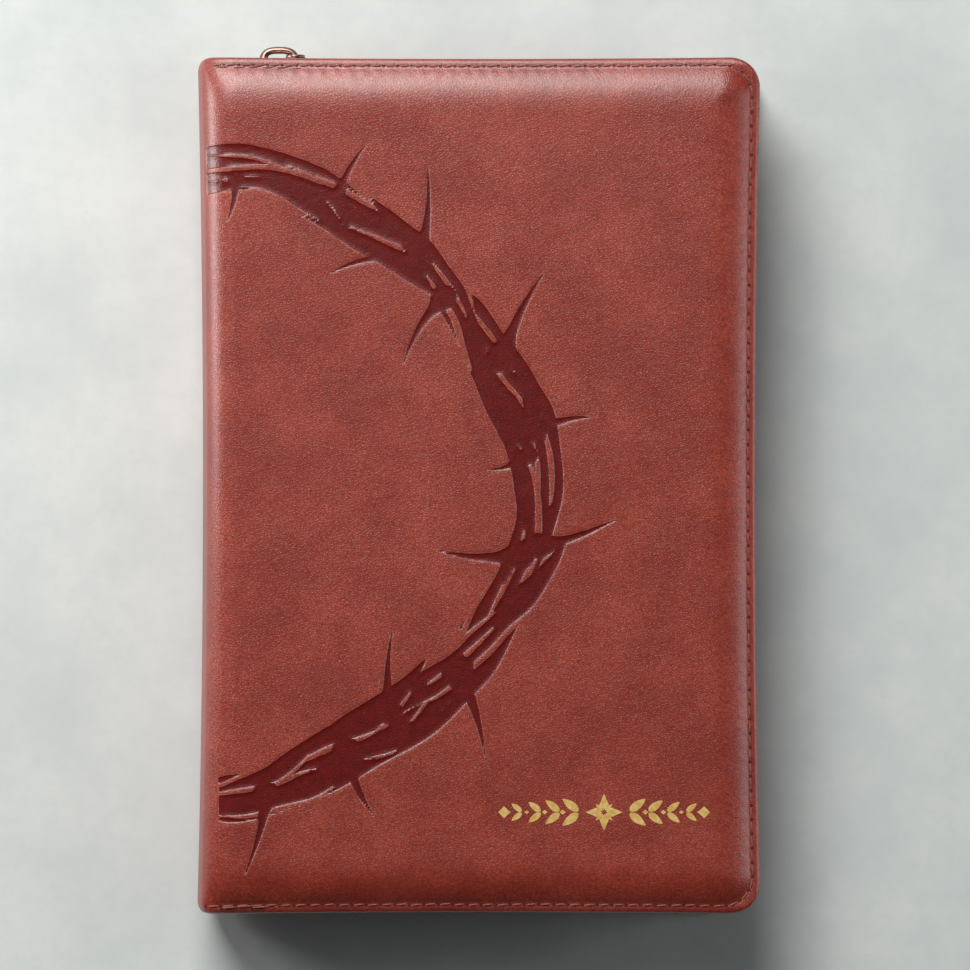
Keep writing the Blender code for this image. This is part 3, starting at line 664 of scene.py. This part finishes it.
def paper_material(name, tint):
    """Leaves seen on their faces and, as fine gilt lines, on their edges."""
    g = Graph(name)
    where = g.object_mm()
    level = g.math("ADD", g.axis(where, 2), g.math("MULTIPLY", g.noise(where, 0.05, 3), 0.5))
    lines = g.math("SINE", g.math("MULTIPLY", level, math.tau / LEAF_LINES))
    broad = g.noise(g.stretched(where, (0.02, 0.02, 1.6)), 1.0, 4, 0.7)
    facing = g.axis(g.add("NewGeometry").outputs["Normal"], 2)
    flat = g.span(g.math("ABSOLUTE", facing), 0.45, 0.65)
    page = g.mix(g.span(g.noise(where, 0.9, 5), 0.3, 0.7), tint, tuple(c * 0.96 for c in tint))
    dull, bright = srgb(176, 128, 62), srgb(226, 182, 104)
    edge = g.mix(g.span(broad, 0.3, 0.7), dull, bright)
    edge = g.mix(g.span(lines, -0.4, 0.9, 0.28, 0), edge, tuple(c * 0.45 for c in dull))
    base = g.mix(flat, edge, page)
    metal = g.math("MULTIPLY", g.math("SUBTRACT", 1.0, flat), 0.75)
    rough = g.span(flat, 0, 1, 0.34, 0.72)
    height = g.math("ADD", g.math("MULTIPLY", lines, 0.5), g.noise(where, 2.0, 4))
    return g.set(Base_Color=base, Metallic=metal, Roughness=rough, Normal=g.bump(height, 0.25, 0.05))


def stripe_material(name, one, other, pitch):
    """Stripes of two colours in turn."""
    g = Graph(name)
    where = g.object_mm()
    turn = g.math("ADD", g.math("MULTIPLY", g.axis(where, 2), math.tau / pitch), g.axis(where, 1))
    wave = g.math("SINE", turn)
    base = g.mix(g.span(wave, -0.15, 0.15), one, other)
    fine = g.math("SINE", g.math("MULTIPLY", turn, 3.0))
    return g.set(Base_Color=base, Roughness=0.7, Normal=g.bump(g.math("ADD", wave, fine), 0.8, 0.12))


# -------------------------------- pieces

LEATHER_FRONT = leather_material("leather front", True)
LEATHER_BACK = leather_material("leather back", False)


def case_leather(side, pitch, fine, plump, material):
    """The outer leather on one side, as one padded piece from the spine's middle to the turned edge."""
    x, y, z = case_points(pitch, fine, plump)
    values = {}
    if side == "front":
        field = wreath_field(x, y)
        z = z - DESIGN_DEPTH * smoothstep(-field, -0.1, 0.45) * (z > THICK - 6)
        values["art"] = field
    else:
        z = THICK - z
    rows, cols = x.shape
    verts = np.stack([x, y, z], -1).reshape(-1, 3)
    faces = grid_faces(rows, cols, flip=side == "back")
    obj = new_mesh(f"{side}_leather", verts, faces, values=values)
    obj.data.materials.append(material)
    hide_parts(f"{side}_skin", f"{side}_joint_skin", "spine_skin")
    blend_over_joint(obj)


def blend_over_joint(obj):
    """Bakes the piece's placement into its points."""
    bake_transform(obj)


def path_points(inset, x_start, step, radius=None):
    """(x, y, arc length) along the three open sides at this inset, from head to tail."""
    r = radius or max(CORNER_R - inset, 1.2)
    cx, cy = HALF_W - inset - r, HALF_H - inset - r
    head = cx - x_start
    quarter = math.pi / 2 * r
    total = 2 * head + 2 * quarter + 2 * cy
    s = stops(0, total, step)
    x, y = np.empty_like(s), np.empty_like(s)
    for i, at in enumerate(s):
        if at <= head:
            x[i], y[i] = x_start + at, cy + r
        elif at <= head + quarter:
            turn = (at - head) / r
            x[i], y[i] = cx + r * math.sin(turn), cy + r * math.cos(turn)
        elif at <= head + quarter + 2 * cy:
            x[i], y[i] = cx + r, cy - (at - head - quarter)
        elif at <= total - head:
            turn = (at - head - quarter - 2 * cy) / r
            x[i], y[i] = cx + r * math.cos(turn), -cy - r * math.sin(turn)
        else:
            x[i], y[i] = x_start + (total - at), -cy - r
    x, y = waisted(x, y)
    return x, y, s


def surface_z(x, y):
    """Height of the rim's leather near the stitches, with the shoulder's fall towards the spine."""
    width = COVER_X - (SPINE_X + SPINE_SAG) - flare(y)
    u = np.clip((COVER_X - x) / width, 0, 0.999)
    top = THICK - RIM_DROP - 0.12
    return np.where(x < COVER_X, SPINE_BASE + (top - SPINE_BASE) * np.sqrt(1 - u * u), top)


def stitches(side, material, hole_shade_material):
    """Separate slanted stitches with their needle holes, and the doubled ones where the seam was locked."""
    x, y, s = path_points(STITCH_IN, SEAM_START_X, 0.2, SEAM_R)
    made = np.random.default_rng(11 if side == "front" else 12)
    threads, holes, uvw = [], [], []

    def at(where):
        i = np.clip(where / (s[1] - s[0]), 0, len(s) - 1.001)
        k = int(i)
        f = i - k
        px, py = x[k] * (1 - f) + x[k + 1] * f, y[k] * (1 - f) + y[k + 1] * f
        tx, ty = x[k + 1] - x[k], y[k + 1] - y[k]
        size = math.hypot(tx, ty) + 1e-9
        return px, py, tx / size, ty / size

    def stitch(begin, end, shift, lift):
        points, radii = [], []
        for k in np.linspace(0, 1, THREAD_STEPS):
            px, py, tx, ty = at(begin + (end - begin) * k)
            off = shift + (0.13 - 0.26 * k)
            px, py = px + ty * off, py - tx * off
            arch = math.sin(math.pi * min(max(k, 0.02), 0.98)) ** 0.55
            height = float(surface_z(px, py)) - 0.34 + 0.46 * arch + lift
            points.append((px, py, height))
            radii.append(THREAD_R * (0.5 + 0.5 * arch))
        threads.append(tube(points, radii, THREAD_SIDES))
        along = np.repeat(np.linspace(0, 40, THREAD_STEPS), THREAD_SIDES)
        around = np.tile(np.arange(THREAD_SIDES) * 1.2, THREAD_STEPS)
        uvw.append(np.stack([along, around, np.zeros(len(along))], -1))

    def hole(where, shift):
        px, py, tx, ty = at(where)
        px, py = px + ty * shift, py - tx * shift
        z = float(surface_z(px, py))
        turn = np.linspace(0, math.tau, HOLE_SIDES + 1)[:-1]
        rings = []
        for r, dz in HOLE_RINGS:
            level = np.full(HOLE_SIDES, z + dz)
            rings.append(np.stack([px + r * 1.15 * np.cos(turn), py + r * np.sin(turn), level], -1))
        verts = np.concatenate([*rings, np.array([[px, py, z - 0.2]])])
        faces = [list(q) for q in grid_faces(len(HOLE_RINGS), HOLE_SIDES, closed=True)]
        tip = len(HOLE_RINGS) * HOLE_SIDES
        inner = tip - HOLE_SIDES
        faces += [[inner + i, inner + (i + 1) % HOLE_SIDES, tip] for i in range(HOLE_SIDES)]
        holes.append((verts, faces))

    total = s[-1]
    where = 0.8
    while where < total - 3.2:
        length = STITCH_PITCH + made.normal(0, 0.06)
        shift = made.normal(0, 0.05)
        stitch(where + 0.45, where + length - 0.4, shift, 0)
        hole(where + length - 0.02, shift + 0.02)
        where += length
    for start, count, shift in ((2.2, 6, 0.55), (total - 16, 3, -0.5)):
        where = start
        for _ in range(count):
            length = STITCH_PITCH * made.uniform(0.9, 1.15)
            stitch(where, where + length, shift + made.normal(0, 0.22), 0.12)
            hole(where + length, shift + made.normal(0, 0.1))
            where += length
    pieces = []
    for name, parts, look, coordinates in (
        (f"{side}_stitches", threads, material, np.concatenate(uvw)),
        (f"{side}_needle_holes", holes, hole_shade_material, None),
    ):
        verts, faces = joined(parts)
        if side == "back":
            verts[:, 2] = THICK - verts[:, 2]
            faces = [f[::-1] for f in faces]
        obj = new_mesh(name, verts, faces, uvw=coordinates)
        obj.data.materials.append(look)
        pieces.append(obj)
    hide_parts(f"{side}_stitch_thread")
    for obj in pieces:
        blend_over_joint(obj)


def zip_tape(side, material):
    """The tape between the rim and the coil, with a rib beside the coil."""
    outline = [
        (4.6, 31.9), (3.0, 31.9), (2.1, 31.75), (1.72, 31.35), (1.62, 30.7), (1.72, 29.2), (1.98, 27.4),
        (2.36, 25.5), (2.74, 24.0), (2.95, 23.2), (2.86, 22.95), (2.80, 22.75), (2.86, 22.5), (3.0, 22.3),
        (3.02, 21.0), (3.02, 19.3), (3.2, 19.1), (3.5, 19.3), (3.55, 21.0), (3.55, 22.6), (3.4, 24.2),
        (2.9, 26.2), (2.4, 28.4), (2.2, 30.4), (2.4, 31.2), (3.2, 31.4), (4.6, 31.4),
    ]
    across = np.concatenate([[0], np.cumsum(np.hypot(*np.diff(np.array(outline), axis=0).T))])
    rings, uvw = [], []
    for k, (inset, z) in enumerate(outline):
        x, y, s = path_points(inset, COVER_X + 0.2, 1.0)
        share = np.linspace(0, 1, TAPE_RINGS)
        x, y, s = (np.interp(share, np.linspace(0, 1, len(s)), v) for v in (x, y, s))
        wave = 0.09 * np.sin(s * 0.23 + z) * np.sin(s * 0.071 + 1.3) * (1 - abs((z - 26) / 8))
        rings.append(np.stack([x, y, np.full(len(s), z) + wave * 0.3], -1))
        uvw.append(np.stack([s, np.full(len(s), across[k]), np.zeros(len(s))], -1))
    verts, uvw = np.concatenate(rings), np.concatenate(uvw)
    count = len(outline)
    faces = [list(f) for f in grid_faces(count, TAPE_RINGS)]
    starts = [i * TAPE_RINGS for i in range(count)]
    faces += [starts[::-1], [start + TAPE_RINGS - 1 for start in starts]]
    if side == "back":
        verts[:, 2] = THICK - verts[:, 2]
    else:
        faces = [f[::-1] for f in faces]
    obj = new_mesh(f"{side}_tape", verts, faces, uvw=uvw)
    obj.data.materials.append(material)
    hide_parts(f"{side}_zip_tape")
    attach(obj, f"{side}_cover")


def zip_coil(side, material):
    """A filament wound in loops. The two rows are half a loop apart, so that they mesh."""
    x, y, s = path_points(COIL_IN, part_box("front_zip_coil")[0].x / MM, 0.1)
    t = np.arange(int(s[-1] / COIL_PITCH) * LOOP_STEPS) / LOOP_STEPS
    shift = 0 if side == "front" else 0.5
    at = (t + shift * 0.999) * COIL_PITCH
    at = np.clip(at, 0, s[-1] - 0.2)
    px, py = np.interp(at, s, x), np.interp(at, s, y)
    tx, ty = np.interp(at + 0.1, s, x) - px, np.interp(at + 0.1, s, y) - py
    size = np.hypot(tx, ty) + 1e-9
    nx, ny = -ty / size, tx / size
    turn = math.tau * t
    out = LOOP_HALF_W * np.cos(turn)
    # Loops are flattened, with a broad head that reaches past the middle.
    up = np.sign(np.sin(turn)) * np.abs(np.sin(turn)) ** 0.8 * LOOP_HALF_H
    z = MID + 1.12 - up
    points = np.stack([px + nx * out, py + ny * out, z], -1)
    radius = 0.25 + 0.07 * smoothstep(up, 0.9, 1.7)
    verts, faces = tube(points, radius, 6)
    if side == "back":
        verts[:, 2] = THICK - verts[:, 2]
        faces = [list(f)[::-1] for f in faces]
    # The cord inside the loops.
    cord_x, cord_y = x[::12], y[::12]
    cord_z = np.full(len(cord_x), MID + (1.6 if side == "front" else -1.6))
    verts, faces = joined([(verts, faces), tube(np.stack([cord_x, cord_y, cord_z], -1), 0.32, 6)])
    obj = new_mesh(f"{side}_coil", verts, faces)
    obj.data.materials.append(material)
    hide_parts(f"{side}_zip_coil")
    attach(obj, f"{side}_cover")


def cover_top(x, y):
    """Height of the front leather's padded middle."""
    level = min(HALF_W - x, HALF_H - abs(y))
    raised = unevenness(np.array([x]), np.array([y]))[0]
    return THICK - float(pad_depth(np.array(level), FRONT_PLUMP)) + float(raised)


def foil_ornament(material):
    """Pressed gold leaves and lozenges on each side of a small star, in place of a title."""
    x0, x1, y0, y1 = 6.2, 58.2, -88.5, -79.2
    mid_y, mid_x = (y0 + y1) / 2, (x0 + x1) / 2
    shapes = []

    def lozenge(cx, cy, a, b):
        shapes.append([(cx - a, cy), (cx, cy - b), (cx + a, cy), (cx, cy + b)])

    def leaf(cx, cy, long, wide, angle):
        c, k = math.cos(angle), math.sin(angle)
        outline = []
        for i in range(20):
            t = math.tau * i / 20
            u = long * math.cos(t)
            v = wide * math.sin(t) * (1 - 0.35 * math.cos(t)) * abs(math.sin(t)) ** 0.35
            outline.append((cx + u * c - v * k, cy + u * k + v * c))
        shapes.append(outline)

    for side in (-1, 1):
        for step in range(4):
            at = mid_x + side * (8.6 + step * 4.6)
            grow = 1 - 0.12 * step
            for up in (-1, 1):
                heading = up * math.radians(38)
                heading = heading if side > 0 else math.pi - heading
                leaf(at, mid_y + up * 1.85 * grow, 2.5 * grow, 1.0 * grow, heading)
            lozenge(at + side * 2.0, mid_y, 0.75 * grow, 0.6 * grow)
        lozenge(mid_x + side * 25.6, mid_y, 1.5, 1.5)
    for turn in range(8):
        angle = math.radians(45 * turn)
        reach, wide = (4.7, 1.15) if turn % 2 == 0 else (3.0, 0.7)
        c, k = math.cos(angle), math.sin(angle)
        base = 0.55
        shapes.append([(mid_x + c * base - k * 0.1, mid_y + k * base + c * 0.1),
                       (mid_x + c * reach * 0.42 - k * wide, mid_y + k * reach * 0.42 + c * wide),
                       (mid_x + c * reach, mid_y + k * reach),
                       (mid_x + c * reach * 0.42 + k * wide, mid_y + k * reach * 0.42 - c * wide)])
    verts, faces = [], []
    for shape in shapes:
        area = sum(a[0] * b[1] - b[0] * a[1] for a, b in zip(shape, shape[1:] + shape[:1]))
        if area < 0:
            shape = shape[::-1]
        cx, cy = np.mean([p[0] for p in shape]), np.mean([p[1] for p in shape])
        start, n = len(verts), len(shape)
        for grow, dz in ((0.10, -0.05), (0.0, 0.075)):
            for px, py in shape:
                ox, oy = px - cx, py - cy
                size = math.hypot(ox, oy) + 1e-9
                qx, qy = px + ox / size * grow, py + oy / size * grow
                verts.append((qx, qy, cover_top(qx, qy) + dz))
        for i in range(n):
            j = (i + 1) % n
            faces.append((start + i, start + j, start + n + j, start + n + i))
        faces.append(tuple(start + n + i for i in range(n)))
    obj = new_mesh("foil_ornament", verts, faces, smooth=False)
    obj.data.materials.append(material)
    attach(obj, "front_cover")


def ribbon_piece(name, node, material):
    """A satin ribbon with a swallow-tail end."""
    low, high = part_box(node)
    low, high = np.array(low) / MM, np.array(high) / MM
    across, along = 7, 120
    y = np.linspace(high[1], low[1], along)
    x = np.linspace(low[0], high[0], across)
    yy, xx = np.meshgrid(y, x, indexing="ij")
    notch = 2.4 * (1 - np.abs(np.linspace(-1, 1, across)))
    yy = yy + smoothstep(-yy, -low[1] - 6, -low[1])[..., :] * notch[None, :]
    middle = (low[2] + high[2]) / 2
    zz = middle + 0.05 * np.sin(yy * 0.12) + 0.03 * np.sin(xx * 2.1 + yy * 0.3)
    out = smoothstep(-yy, 103.0, 106.0)
    zz = zz - 1.4 * out ** 2 + 0.25 * out * np.sin(xx * 1.7)
    verts = np.stack([xx, yy, zz], -1).reshape(-1, 3)
    uvw = np.stack([yy, xx, np.zeros_like(xx)], -1).reshape(-1, 3)
    obj = new_mesh(name, verts, grid_faces(along, across), uvw=uvw)
    thick = obj.modifiers.new("thickness", "SOLIDIFY")
    thick.thickness = 0.12 * MM
    obj.data.materials.append(material)
    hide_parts(node)
    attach(obj, "text_block")


def cut_off(mesh, top):
    """Leaves out what is past y = top, and closes the cut."""
    cut = bmesh.new()
    cut.from_mesh(mesh)
    bmesh.ops.remove_doubles(cut, verts=cut.verts[:], dist=WELD)
    whole = cut.verts[:] + cut.edges[:] + cut.faces[:]
    plane = {"plane_co": (0, top * MM, 0), "plane_no": (0, 1, 0)}
    bmesh.ops.bisect_plane(cut, geom=whole, clear_outer=True, **plane)
    bmesh.ops.holes_fill(cut, edges=[e for e in cut.edges if e.is_boundary], sides=0)
    cut.to_mesh(mesh)
    cut.free()


def rounded_copy(node, material, body, edge, top=None):
    """A CAD piece again, with its edges rounded, up to y = top."""
    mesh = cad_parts[node].data.copy()
    mesh.name = node + "_rounded"
    if top is not None:
        cut_off(mesh, top)
    mesh.materials.clear()
    mesh.materials.append(material)
    obj = bpy.data.objects.new(node + "_rounded", mesh)
    bpy.context.scene.collection.objects.link(obj)
    weld = obj.modifiers.new("weld", "WELD")
    weld.merge_threshold = WELD
    flat = obj.modifiers.new("flat faces", "DECIMATE")
    flat.decimate_type = "DISSOLVE"
    flat.angle_limit = math.radians(2)
    bevel = obj.modifiers.new("rounding", "BEVEL")
    bevel.width = edge * MM
    bevel.segments = 4
    bevel.limit_method = "ANGLE"
    bevel.angle_limit = math.radians(35)
    mesh.shade_smooth()
    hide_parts(node)
    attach(obj, body)


def crown(material):
    """The loop over the slider's outer plate, cast with a round back and a swelling foot at each end."""
    low, high = (np.array(corner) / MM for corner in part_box("slider"))
    x0, x1 = low[0] + 0.4, low[0] + 10.3
    middle, half = (x0 + x1) / 2, (x1 - x0) / 2 - CROWN_R
    base, top = high[1] - 3.6, high[1] - 0.9
    points, radii = [], []
    for i in range(CROWN_STEPS + 1):
        angle = math.pi * (1 - i / CROWN_STEPS)
        c, k = math.cos(angle), math.sin(angle)
        x = middle + half * math.copysign(abs(c) ** 0.72, c)
        y = base + (top - base) * abs(k) ** 0.72
        points.append((x, y, MID))
        radii.append(CROWN_R + 0.30 * (1 - abs(k)) ** 2)
    verts, faces = tube(points, radii, 14)
    verts[:, 2] = MID + (verts[:, 2] - MID) * 1.15
    obj = new_mesh("slider_crown", verts, faces)
    obj.data.materials.append(material)
    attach(obj, "zip_slider")


def paint(material, *nodes):
    for node in nodes:
        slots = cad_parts[node].data.materials
        slots.clear()
        slots.append(material)


# -------------------------------- build

case_leather("front", 0.66, 0.54, FRONT_PLUMP, LEATHER_FRONT)
case_leather("back", 1.1, 1.1, 0.0, LEATHER_BACK)
thread_look = thread_material()
# The needle holes are shallow dimples painted near-black: painted shade for the shadow inside each hole.
hole_shade_look = plain_noise_material("needle hole", srgb(26, 8, 8), srgb(40, 14, 13), 2.0, 0.9)
for side_name in ("front", "back"):
    stitches(side_name, thread_look, hole_shade_look)
tape_look = weave_material("tape weave", srgb(62, 20, 18), srgb(104, 42, 37), 0.55, 0.45)
coil_look = coil_material()
for side_name in ("front", "back"):
    zip_tape(side_name, tape_look)
    zip_coil(side_name, coil_look)
foil_ornament(foil_material())

metal_look = metal_material()
rounded_copy("slider", metal_look, "zip_slider", 0.42, top=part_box("slider")[1].y / MM - CROWN_H)
crown(metal_look)
rounded_copy("pull_tab", metal_look, "zip_pull", 0.3)
for node in ("front_top_stop", "back_top_stop", "bottom_stop"):
    rounded_copy(node, metal_look, "front_cover" if node.startswith("front") else "back_cover", 0.25)
PAPER = srgb(238, 232, 214)
page_look = paper_material("bible paper", PAPER)
paint(page_look, *[f"section_{i}" for i in range(1, 9)], *[f"front_leaves_{i}" for i in (1, 2, 3)])
ENDPAPER = srgb(206, 188, 158)
end_look = paper_material("endpaper", ENDPAPER)
paint(end_look, "front_flyleaf", "back_flyleaf")
lining_look = plain_noise_material("lining paper", srgb(196, 176, 146), srgb(212, 194, 164), 0.5, 0.75)
paint(lining_look, "front_lining", "back_lining")
card_look = plain_noise_material("grey board", srgb(150, 140, 124), srgb(170, 160, 144), 1.5, 0.9)
paint(card_look, "front_board", "back_board", "spine_liner")
foam_look = plain_noise_material("foam", srgb(214, 210, 198), srgb(232, 228, 216), 2.5, 0.95, 0.5, 0.2)
paint(foam_look, "front_padding", "back_padding")
gauze_look = stripe_material("gauze", srgb(222, 216, 200), srgb(196, 188, 168), 0.8)
paint(gauze_look, "mull")
band_look = stripe_material("headband", srgb(128, 22, 26), srgb(226, 206, 150), 1.5)
paint(band_look, "headband_head", "headband_tail")
ribbon_look = weave_material("satin ribbon", srgb(112, 12, 18), srgb(160, 26, 32), 0.25, 0.2, 0.1)
ribbon_piece("ribbon_a", "ribbon_marker_1", ribbon_look)
ribbon_piece("ribbon_b", "ribbon_marker_2", ribbon_look)


# -------------------------------- stage, light, camera

def floor():
    g = Graph("floor")
    where = g.add("TexCoord").outputs["Object"]
    tone = g.noise(where, 22.0, 5, 0.65)
    fine = g.noise(where, 240.0, 4, 0.7)
    base = g.mix(g.span(tone, 0.3, 0.7), srgb(200, 206, 205), srgb(215, 219, 217))
    base = g.mix(g.span(fine, 0.4, 0.8, 0, 0.35), base, srgb(196, 203, 202))
    material = g.set(Base_Color=base, Roughness=0.85, Normal=g.bump(fine, 0.1, 0.2))
    size, low = 6000, -0.05
    verts = [(-size, -size, low), (size, -size, low), (size, size, low), (-size, size, low)]
    obj = new_mesh("floor", verts, [(0, 1, 2, 3)], smooth=False)
    obj.data.materials.append(material)


def lamp(name, place, target, size, power, colour):
    data = bpy.data.lights.new(name, "AREA")
    data.shape = "RECTANGLE"
    data.size, data.size_y = size
    data.energy = power
    data.color = colour
    obj = bpy.data.objects.new(name, data)
    bpy.context.scene.collection.objects.link(obj)
    obj.location = place
    aim = Vector(target) - Vector(place)
    obj.rotation_euler = aim.to_track_quat("-Z", "Y").to_euler()


floor()
lamp("window", (-0.38, 1.05, 1.08), (0, 0, 0.02), (0.95, 0.9), 28.5, (1.0, 0.99, 0.97))
lamp("corner", (-0.42, 0.11, 0.13), (-0.07, 0.09, 0.03), (0.16, 0.18), 0.88, (1.0, 0.98, 0.97))
lamp("right", (0.95, 0.0, 0.36), (0, 0, 0.03), (0.35, 0.6), 2.2, (0.95, 0.97, 1.0))
lamp("upper window", (-0.12, 0.66, 1.45), (0, 0, 0.02), (1.1, 0.5), 1.2, (1.0, 0.99, 0.98))

world = bpy.data.worlds.new("studio")
bpy.context.scene.world = world
world.use_nodes = True
background = world.node_tree.nodes["Background"].inputs
background["Color"].default_value = (0.86, 0.9, 0.92, 1)
background["Strength"].default_value = 0.05
bpy.context.scene.view_settings.view_transform = "Standard"

# The camera's distance, and the width that it sees at that distance, in metres.
CAMERA_D = 2.4
FIELD = 0.2487
SENSOR = 36
camera_data = bpy.data.cameras.new("camera")
camera_data.sensor_width = SENSOR
camera_data.lens = SENSOR * CAMERA_D / FIELD
camera = bpy.data.objects.new("camera", camera_data)
bpy.context.scene.collection.objects.link(camera)
tilt = math.radians(1.0)
aim = Vector((0.0017, 0.0, 0.035))
camera.location = aim + CAMERA_D * Vector((0, -math.sin(tilt), math.cos(tilt)))
camera.rotation_euler = (tilt, 0, 0)
camera_data.clip_start = 0.1
bpy.context.scene.camera = camera
